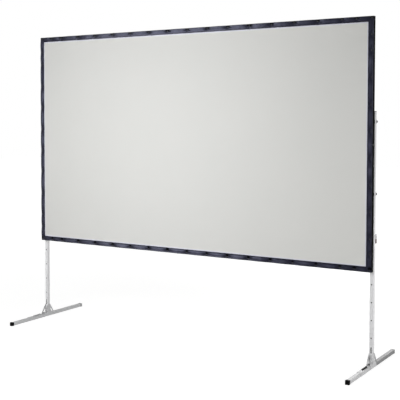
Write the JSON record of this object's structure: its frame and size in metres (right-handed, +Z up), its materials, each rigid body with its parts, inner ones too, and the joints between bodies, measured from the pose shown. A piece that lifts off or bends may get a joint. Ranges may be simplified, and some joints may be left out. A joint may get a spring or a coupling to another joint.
{
  "type": "rear projection screen",
  "caption": "Free-standing folding rear projection screen: grey vinyl sheet with a black snapped border on a hinged square tube frame, held by aluminium T-legs with folding feet.",
  "frame": {"origin": "on the floor, halfway between the two legs and halfway along the feet", "axes": "+X along the screen's width to the viewer's right, +Y away from the viewer towards the screen's back, +Z up"},
  "size_m": [3.6734, 1.098, 2.9641],
  "materials": {
    "screen_vinyl": "matt grey translucent rear projection vinyl",
    "border_vinyl": "black vinyl with a slight sheen and black snap caps",
    "frame_black": "black anodised aluminium tube",
    "leg_aluminium": "mill finish aluminium, satin",
    "foot_aluminium": "mill finish aluminium, dulled and scuffed by use",
    "hardware_steel": "zinc plated steel",
    "black_plastic": "black moulded plastic",
    "grey_plastic": "grey moulded plastic",
    "red_plastic": "dark red dipped vinyl grip"
  },
  "bodies": {
    "left_side": {"side_rail_lower_left": "frame_black", "side_rail_upper_left": "frame_black", "side_hinge_pin_left": "hardware_steel", "top_hinge_pin_0": "hardware_steel", "bottom_hinge_pin_0": "hardware_steel", "screen_sheet": "screen_vinyl", "border_top": "border_vinyl", "border_bottom": "border_vinyl", "border_left": "border_vinyl", "border_right": "border_vinyl", "leg_upper_left": "leg_aluminium", "leg_plug_left": "black_plastic", "fold_hinge_upper_left": "hardware_steel"},
    "right_side": {"side_rail_lower_right": "frame_black", "side_rail_upper_right": "frame_black", "side_hinge_pin_right": "hardware_steel", "leg_upper_right": "leg_aluminium", "leg_plug_right": "black_plastic", "fold_hinge_upper_right": "hardware_steel"},
    "top_1": {"top_rail_1": "frame_black", "top_hinge_pin_1": "hardware_steel"},
    "bottom_1": {"bottom_rail_1": "frame_black", "bottom_hinge_pin_1": "hardware_steel"},
    "top_2": {"top_rail_2": "frame_black", "top_hinge_pin_2": "hardware_steel"},
    "bottom_2": {"bottom_rail_2": "frame_black", "bottom_hinge_pin_2": "hardware_steel"},
    "top_3": {"top_rail_3": "frame_black", "top_hinge_pin_3": "hardware_steel"},
    "bottom_3": {"bottom_rail_3": "frame_black", "bottom_hinge_pin_3": "hardware_steel"},
    "top_4": {"top_rail_4": "frame_black", "top_hinge_pin_4": "hardware_steel"},
    "bottom_4": {"bottom_rail_4": "frame_black", "bottom_hinge_pin_4": "hardware_steel"},
    "lower_leg_left": {"leg_lower_left": "leg_aluminium", "fold_hinge_lower_left": "hardware_steel", "foot_bracket_left": "foot_aluminium"},
    "front_foot_left": {"foot_front_left": "foot_aluminium", "cap_front_left": "black_plastic"},
    "back_foot_left": {"foot_back_left": "foot_aluminium", "cap_back_left": "grey_plastic"},
    "foot_latch_left": {"latch_lever_left": "black_plastic"},
    "fold_lock_left": {"lock_lever_left": "black_plastic", "lock_grip_left": "red_plastic"},
    "low_knob_left": {"knob_low_left": "black_plastic"},
    "high_knob_left": {"knob_high_left": "black_plastic"},
    "lower_leg_right": {"leg_lower_right": "leg_aluminium", "fold_hinge_lower_right": "hardware_steel", "foot_bracket_right": "foot_aluminium"},
    "front_foot_right": {"foot_front_right": "foot_aluminium", "cap_front_right": "black_plastic"},
    "back_foot_right": {"foot_back_right": "foot_aluminium", "cap_back_right": "grey_plastic"},
    "foot_latch_right": {"latch_lever_right": "black_plastic"},
    "fold_lock_right": {"lock_lever_right": "black_plastic", "lock_grip_right": "red_plastic"},
    "low_knob_right": {"knob_low_right": "black_plastic"},
    "high_knob_right": {"knob_high_right": "black_plastic"}
  },
  "joints": [
    {"name": "frame_fold", "type": "hinge", "parent": "left_side", "child": "top_1", "pos_m": [-1.79555, -0.05065, 2.92335], "axis": [0, 1, 0], "range_deg": [0, 88]},
    {"name": "top_hinge_left", "type": "hinge", "parent": "top_1", "child": "top_2", "pos_m": [-0.89777, -0.05065, 2.9581], "axis": [0, 1, 0], "range_deg": [-176, 0]},
    {"name": "top_hinge_middle", "type": "hinge", "parent": "top_2", "child": "top_3", "pos_m": [0, -0.05065, 2.92335], "axis": [0, 1, 0], "range_deg": [0, 176]},
    {"name": "top_hinge_right", "type": "hinge", "parent": "top_3", "child": "top_4", "pos_m": [0.89777, -0.05065, 2.9581], "axis": [0, 1, 0], "range_deg": [-176, 0]},
    {"name": "top_corner_right", "type": "hinge", "parent": "top_4", "child": "right_side", "pos_m": [1.79555, -0.05065, 2.92335], "axis": [0, 1, 0], "range_deg": [0, 88]},
    {"name": "bottom_corner_left", "type": "hinge", "parent": "left_side", "child": "bottom_1", "pos_m": [-1.79555, -0.05065, 0.85625], "axis": [0, 1, 0], "range_deg": [-88, 0]},
    {"name": "bottom_hinge_left", "type": "hinge", "parent": "bottom_1", "child": "bottom_2", "pos_m": [-0.89777, -0.05065, 0.8215], "axis": [0, 1, 0], "range_deg": [0, 176]},
    {"name": "bottom_hinge_middle", "type": "hinge", "parent": "bottom_2", "child": "bottom_3", "pos_m": [0, -0.05065, 0.85625], "axis": [0, 1, 0], "range_deg": [-176, 0]},
    {"name": "bottom_hinge_right", "type": "hinge", "parent": "bottom_3", "child": "bottom_4", "pos_m": [0.89777, -0.05065, 0.8215], "axis": [0, 1, 0], "range_deg": [0, 176]},
    {"name": "leg_fold_left", "type": "hinge", "parent": "left_side", "child": "lower_leg_left", "pos_m": [-1.81292, 0.02138, 1.13], "axis": [1, 0, 0], "range_deg": [0, 150]},
    {"name": "foot_front_fold_left", "type": "hinge", "parent": "lower_leg_left", "child": "front_foot_left", "pos_m": [-1.81292, -0.06, 0.01725], "axis": [-1, 0, 0], "range_deg": [0, 90]},
    {"name": "foot_back_fold_left", "type": "hinge", "parent": "lower_leg_left", "child": "back_foot_left", "pos_m": [-1.81292, 0.06, 0.01725], "axis": [1, 0, 0], "range_deg": [0, 90]},
    {"name": "foot_latch_lift_left", "type": "hinge", "parent": "front_foot_left", "child": "foot_latch_left", "pos_m": [-1.81292, -0.12, 0.03963], "axis": [-1, 0, 0], "range_deg": [0, 8]},
    {"name": "fold_lock_turn_left", "type": "hinge", "parent": "left_side", "child": "fold_lock_left", "pos_m": [-1.81292, 0.02138, 1.13], "axis": [1, 0, 0], "range_deg": [0, 90]},
    {"name": "low_knob_turn_left", "type": "hinge", "parent": "left_side", "child": "low_knob_left", "pos_m": [-1.81292, 0, 1.4742], "axis": [0, 1, 0], "continuous": true},
    {"name": "high_knob_turn_left", "type": "hinge", "parent": "left_side", "child": "high_knob_left", "pos_m": [-1.81292, 0, 2.0838], "axis": [0, 1, 0], "continuous": true},
    {"name": "leg_fold_right", "type": "hinge", "parent": "right_side", "child": "lower_leg_right", "pos_m": [1.81292, 0.02138, 1.13], "axis": [1, 0, 0], "range_deg": [0, 150]},
    {"name": "foot_front_fold_right", "type": "hinge", "parent": "lower_leg_right", "child": "front_foot_right", "pos_m": [1.81292, -0.06, 0.01725], "axis": [-1, 0, 0], "range_deg": [0, 90]},
    {"name": "foot_back_fold_right", "type": "hinge", "parent": "lower_leg_right", "child": "back_foot_right", "pos_m": [1.81292, 0.06, 0.01725], "axis": [1, 0, 0], "range_deg": [0, 90]},
    {"name": "foot_latch_lift_right", "type": "hinge", "parent": "front_foot_right", "child": "foot_latch_right", "pos_m": [1.81292, -0.12, 0.03963], "axis": [-1, 0, 0], "range_deg": [0, 8]},
    {"name": "fold_lock_turn_right", "type": "hinge", "parent": "right_side", "child": "fold_lock_right", "pos_m": [1.81292, 0.02138, 1.13], "axis": [1, 0, 0], "range_deg": [0, 90]},
    {"name": "low_knob_turn_right", "type": "hinge", "parent": "right_side", "child": "low_knob_right", "pos_m": [1.81292, 0, 1.4742], "axis": [0, 1, 0], "continuous": true},
    {"name": "high_knob_turn_right", "type": "hinge", "parent": "right_side", "child": "high_knob_right", "pos_m": [1.81292, 0, 2.0838], "axis": [0, 1, 0], "continuous": true}
  ],
  "couplings": [
    {"joint": "top_hinge_left", "follows": "frame_fold", "ratio": -2},
    {"joint": "top_hinge_middle", "follows": "frame_fold", "ratio": 2},
    {"joint": "top_hinge_right", "follows": "frame_fold", "ratio": -2},
    {"joint": "top_corner_right", "follows": "frame_fold", "ratio": 1},
    {"joint": "bottom_corner_left", "follows": "frame_fold", "ratio": -1},
    {"joint": "bottom_hinge_left", "follows": "frame_fold", "ratio": 2},
    {"joint": "bottom_hinge_middle", "follows": "frame_fold", "ratio": -2},
    {"joint": "bottom_hinge_right", "follows": "frame_fold", "ratio": 2}
  ]
}
